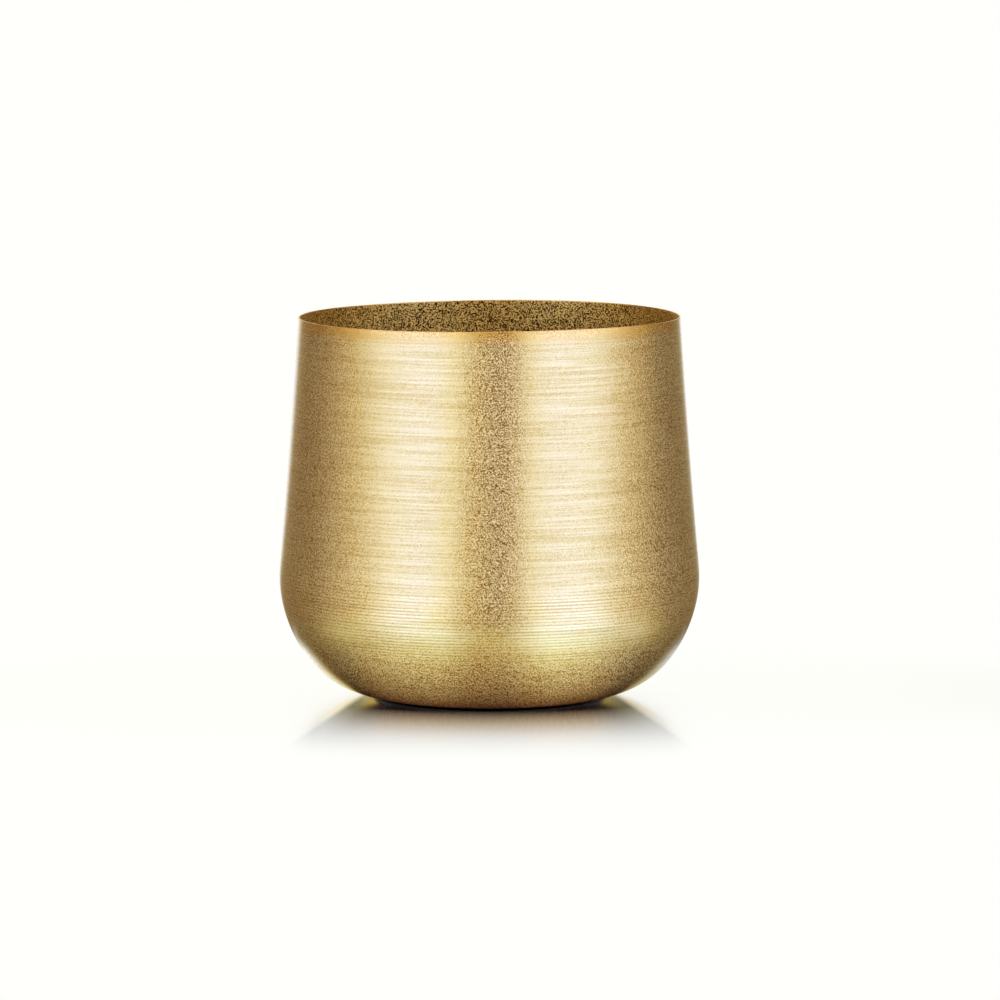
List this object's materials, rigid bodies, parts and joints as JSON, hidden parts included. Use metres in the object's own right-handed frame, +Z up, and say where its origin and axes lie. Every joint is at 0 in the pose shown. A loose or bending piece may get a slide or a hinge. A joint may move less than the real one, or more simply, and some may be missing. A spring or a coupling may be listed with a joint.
{
  "type": "cachepot",
  "caption": "Round spun-metal cachepot with a brushed brass finish, a low full belly, a plain thin rim and foam pads under its flat base.",
  "frame": {"origin": "on the pot's axis, level with the surface that the pads stand on", "axes": "+Z up along the pot's axis; -Y towards the picture's viewer, +X to the viewer's right"},
  "size_m": [0.167, 0.167, 0.1517],
  "materials": {
    "brushed_brass": "fine horizontal spinning lines over a sand-like satin grain, clear lacquered",
    "foam_pad": "matt closed-cell foam with a fine pore",
    "adhesive_film": "milky translucent film, dull"
  },
  "bodies": {
    "root": {"pot_shell": "brushed_brass", "foot_pad_right": "foam_pad", "foot_pad_back": "foam_pad", "foot_pad_left": "foam_pad", "foot_pad_front": "foam_pad", "pad_adhesive_right": "adhesive_film", "pad_adhesive_back": "adhesive_film", "pad_adhesive_left": "adhesive_film", "pad_adhesive_front": "adhesive_film"}
  },
  "joints": []
}
